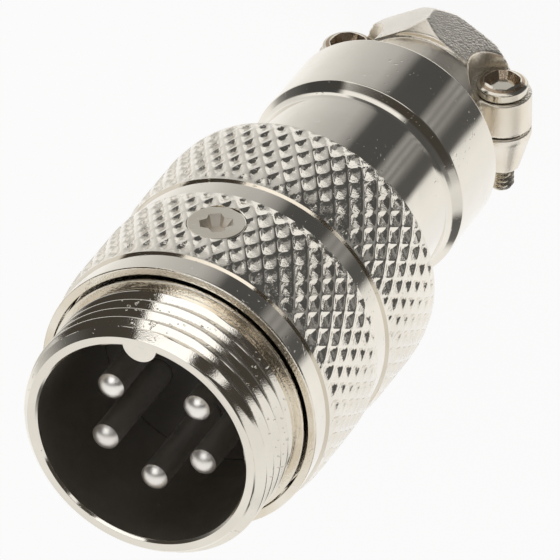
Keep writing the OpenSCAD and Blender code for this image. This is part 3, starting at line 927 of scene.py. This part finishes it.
# Clamp screws
# Two plated steel pan-head screws with a pressed cross recess. They draw the jaws onto the cable,
# and the ends of their threads stand out of the lower lugs.
clamp_screw_low, clamp_screw_high = box_mm("clamp_screw_right")
screw_offset = (clamp_screw_low[0] + clamp_screw_high[0]) / 2
screw_height = (clamp_screw_low[2] + clamp_screw_high[2]) / 2
under_head = 2.01
head_radius = 1.6
head_height = 0.95
head_corner = 0.1
dome_height = 0.45
dome_steps = 8
screw_radius = 0.8
screw_root = 0.6
screw_pitch = 0.35
screw_thread_steps = 12
screw_length = under_head + clamp_screw_high[1]
screw_tip_radius = 0.55
screw_recess_span = 2.6
screw_recess_core = 2.3
screw_recess_depth = 0.65
recess_lip = 0.24
screw_turns = {"left": 0.35, "right": 0.6}
# Painted shade: the walls of the cross recess take a dark brown colour in place of the shade that falls
# inside the recess.
painted_recess_shade = plated("painted_recess_shade", base=(0.50, 0.40, 0.30), patch=(0.36, 0.27, 0.19),
                      gloss=0.2, rough=0.4, relief=0.000010,
                      grain_size=0.0001, grain=1.5, waves=0, pits=1.0)
tip_z = under_head - screw_length
top_z = under_head + head_height
recess_floor_z = top_z - screw_recess_depth + edge_round
dome_radius = (head_radius ** 2 + dome_height ** 2) / (2 * dome_height)
dome = []
for k in range(dome_steps + 1):
    r = head_radius * (1 - k / dome_steps)
    dome.append((r, top_z - dome_radius + math.sqrt(dome_radius ** 2 - r ** 2), 0 if k else head_corner))
for side, x in (("left", -screw_offset), ("right", screw_offset)):
    bm = bmesh.new()
    turn(bm, rounded([(screw_root, under_head), (head_radius, under_head)] + dome), screw_steps)
    turn(bm, [(0, tip_z), (screw_tip_radius, tip_z)], screw_steps)
    screw = piece(f"clamp_screw_{side}_pan", bm)
    grow(screw, thread_tree, {
        "Root Radius": screw_root * MM, "Depth": (screw_radius - screw_root) * MM,
        "Pitch": screw_pitch * MM, "Start": tip_z * MM, "Length": screw_length * MM,
        "Start Radius": screw_tip_radius * MM, "End Radius": screw_root * MM,
        "Steps Round": screw_steps, "Steps per Turn": screw_thread_steps, "Material": screw_nickel})
    tidy_solid(screw)
    punch = cross_punch(top_z, screw_recess_depth, screw_recess_span, recess_blade, screw_recess_core)
    punch.data.transform(Matrix.Rotation(screw_turns[side], 4, "Z"))
    fuse(screw, punch, "DIFFERENCE")
    finish_shading(screw, screw_nickel)
    # Painted shade on the recess walls; the recess floor keeps the screw's bright plating.
    coat_where(screw, painted_recess_shade, lambda middle, normal: (
        recess_floor_z < middle.z < top_z - recess_lip and middle.xy.length < screw_recess_span / 2))
    lay_outwards(screw, screw_height)
    screw.data.transform(Matrix.Translation((x * MM, 0, 0)))
    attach(screw, f"{side}_screw")
    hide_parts(f"clamp_screw_{side}")


# Floor and studio
# A pale table, a large softbox over the camera and a room that plated metal mirrors: a white sweep
# on the far side, a grey wall to one side and a dark corner with one pale strip to the other.
floor_half = 3.0
floor_drop = 0.00005
table_grey = (0.9, 0.9, 0.9)
table_roughness = 0.9
seen_white = 0.92
bm = bmesh.new()
bmesh.ops.create_grid(bm, x_segments=1, y_segments=1, size=floor_half)
bmesh.ops.translate(bm, verts=bm.verts, vec=(0, 0, -floor_drop))
floor = piece("floor", bm)
pale_table = bpy.data.materials.new("pale_table")
pale_table.use_nodes = True
tree = pale_table.node_tree
shader = tree.nodes["Principled BSDF"]
shader.inputs["Base Color"].default_value = (*table_grey, 1)
shader.inputs["Roughness"].default_value = table_roughness
shader.inputs["Specular IOR Level"].default_value = 0
lit = tree.nodes.new("ShaderNodeEmission")
lit.inputs["Strength"].default_value = 1
rays = tree.nodes.new("ShaderNodeLightPath").outputs
mirrored = link_math(tree, "ADD", rays["Is Glossy Ray"], rays["Is Transmission Ray"])
whitened = link_math(tree, "MULTIPLY", rays["Is Camera Ray"], seen_white)
seen = tree.nodes.new("ShaderNodeMixShader")
tree.links.new(link_math(tree, "MAXIMUM", whitened, mirrored), seen.inputs["Fac"])
tree.links.new(shader.outputs[0], seen.inputs[1])
tree.links.new(lit.outputs[0], seen.inputs[2])
tree.links.new(seen.outputs[0], tree.nodes["Material Output"].inputs["Surface"])
floor.data.materials.append(pale_table)
floor.visible_glossy = False

# The room's brightness depends on the direction: right, up and back as seen from before the nose.
world = bpy.data.worlds.new("studio")
bpy.context.scene.world = world
world.use_nodes = True
nodes = world.node_tree.nodes
links = world.node_tree.links
calc = partial(link_math, world.node_tree)
direction = nodes.new("ShaderNodeSeparateXYZ")
links.new(nodes.new("ShaderNodeTexCoord").outputs["Generated"], direction.inputs[0])
right = calc("MULTIPLY", direction.outputs["X"], -1)
up = calc("MULTIPLY", direction.outputs["Y"], -1)
back = calc("MULTIPLY", direction.outputs["Z"], -1)
turned_to = calc("ADD", calc("DIVIDE", calc("ARCTAN2", right, up), 2 * math.pi), 0.5)
warm_white = (1.0, 0.99, 0.965)
pure_white = (1.0, 1.0, 1.0)


def fade(value, low, high):
    """0 below low and 1 above high, or the other way round where high is the lower."""
    node = nodes.new("ShaderNodeMapRange")
    node.interpolation_type = "SMOOTHSTEP"
    node.inputs["From Min"].default_value = low
    node.inputs["From Max"].default_value = high
    links.new(value, node.inputs["Value"])
    return node.outputs["Result"]


def walls(levels):
    """The room's brightness round the connector, by degrees from straight up towards the right."""
    ramp = nodes.new("ShaderNodeValToRGB")
    stops = ramp.color_ramp.elements
    while len(stops) < len(levels):
        stops.new(0.5)
    for stop, (degrees, level) in zip(stops, levels):
        stop.position = (degrees + 180) / 360
        stop.color = (*[level * c for c in warm_white], 1)
    links.new(turned_to, ramp.inputs["Fac"])
    return ramp.outputs["Color"]


def mixed(factor, a, b):
    """Colour a where the factor is 0 and b where it is 1; each is a socket or a colour."""
    node = nodes.new("ShaderNodeMix")
    node.data_type = "RGBA"
    links.new(factor, node.inputs["Factor"])
    for socket, value in ((node.inputs["A"], a), (node.inputs["B"], b)):
        if isinstance(value, tuple):
            socket.default_value = (*value, 1)
        else:
            links.new(value, socket)
    return node.outputs["Result"]


far_walls = walls([
    (-180, 1.0), (-105, 1.0), (-75, 0.8), (-45, 0.62), (-18, 0.5), (-4, 0.3), (4, 0.09), (12, 0.08),
    (38, 0.08), (43, 0.24), (46, 0.34), (50, 0.22), (54, 0.36), (58, 0.2), (62, 0.3), (67, 0.17),
    (72, 0.1), (86, 0.1), (93, 0.9), (110, 1.0), (180, 1.0)])
shelf_walls = walls([
    (-180, 1.0), (-105, 1.0), (-75, 0.8), (-62, 0.9), (-55, 1.0), (-27, 1.0), (-18, 0.2), (0, 0.09),
    (86, 0.09), (94, 0.9), (110, 1.0), (180, 1.0)])
side_walls = walls([
    (-180, 0.95), (-150, 0.85), (-140, 0.15), (-128, 0.12), (-118, 0.8), (-100, 0.6), (-80, 0.15),
    (-60, 0.06), (-34, 0.06), (-28, 1.0), (24, 1.0), (34, 0.08), (80, 0.1), (95, 0.3), (105, 0.9),
    (125, 0.8), (132, 0.12), (150, 0.15), (158, 0.9), (180, 0.95)])
pole_walls = walls([
    (-180, 1.0), (35, 1.0), (55, 0.1), (86, 0.1), (94, 0.9), (110, 1.0), (180, 1.0)])
front_dark = (0.058, 0.051, 0.042)
front_pale = tuple(0.9 * c for c in warm_white)
front_limits = (0.02, -0.06)
far_to_shelf = (0.5, 0.38)
shelf_to_side = (0.16, 0.06)
side_to_front = (-0.2, -0.45)
far_to_pole = (0.84, 0.9)
sweep_below = (-0.35, -0.55)
sweep_behind = (0.5, 0.6)
front_wall = mixed(fade(up, *front_limits), front_dark, front_pale)
room = mixed(fade(back, *far_to_shelf), far_walls, shelf_walls)
room = mixed(fade(back, *shelf_to_side), room, side_walls)
room = mixed(fade(back, *side_to_front), room, front_wall)
room = mixed(fade(back, *far_to_pole), room, pole_walls)
rays = nodes.new("ShaderNodeLightPath").outputs
sweep = calc("MULTIPLY", fade(up, *sweep_below), fade(back, *sweep_behind))
mirrored = calc("MULTIPLY", calc("ADD", rays["Is Glossy Ray"], rays["Is Transmission Ray"]), sweep)
shown = mixed(calc("MAXIMUM", rays["Is Camera Ray"], mirrored), room, pure_white)
links.new(shown, nodes["Background"].inputs["Color"])

lamp_target = Vector((0, 0, 0.03))


def softbox(name, towards, distance, width, height, radiance):
    """A rectangular area lamp that faces the connector's middle from a direction, of the given radiance."""
    data = bpy.data.lights.new(name, "AREA")
    data.shape = "RECTANGLE"
    data.size = width
    data.size_y = height
    data.energy = radiance * math.pi * width * height
    lamp = bpy.data.objects.new(name, data)
    lamp.location = lamp_target + Vector(towards).normalized() * distance
    lamp.rotation_euler = Vector(towards).to_track_quat("Z", "Y").to_euler()
    bpy.context.scene.collection.objects.link(lamp)


softbox("main_softbox", towards=(0.06, -0.56, 0.80), distance=0.6, width=0.42, height=0.42, radiance=1.3)
softbox("strip_softbox", towards=(-0.56, -0.5, 0.64), distance=0.7, width=0.10, height=0.25, radiance=1.0)
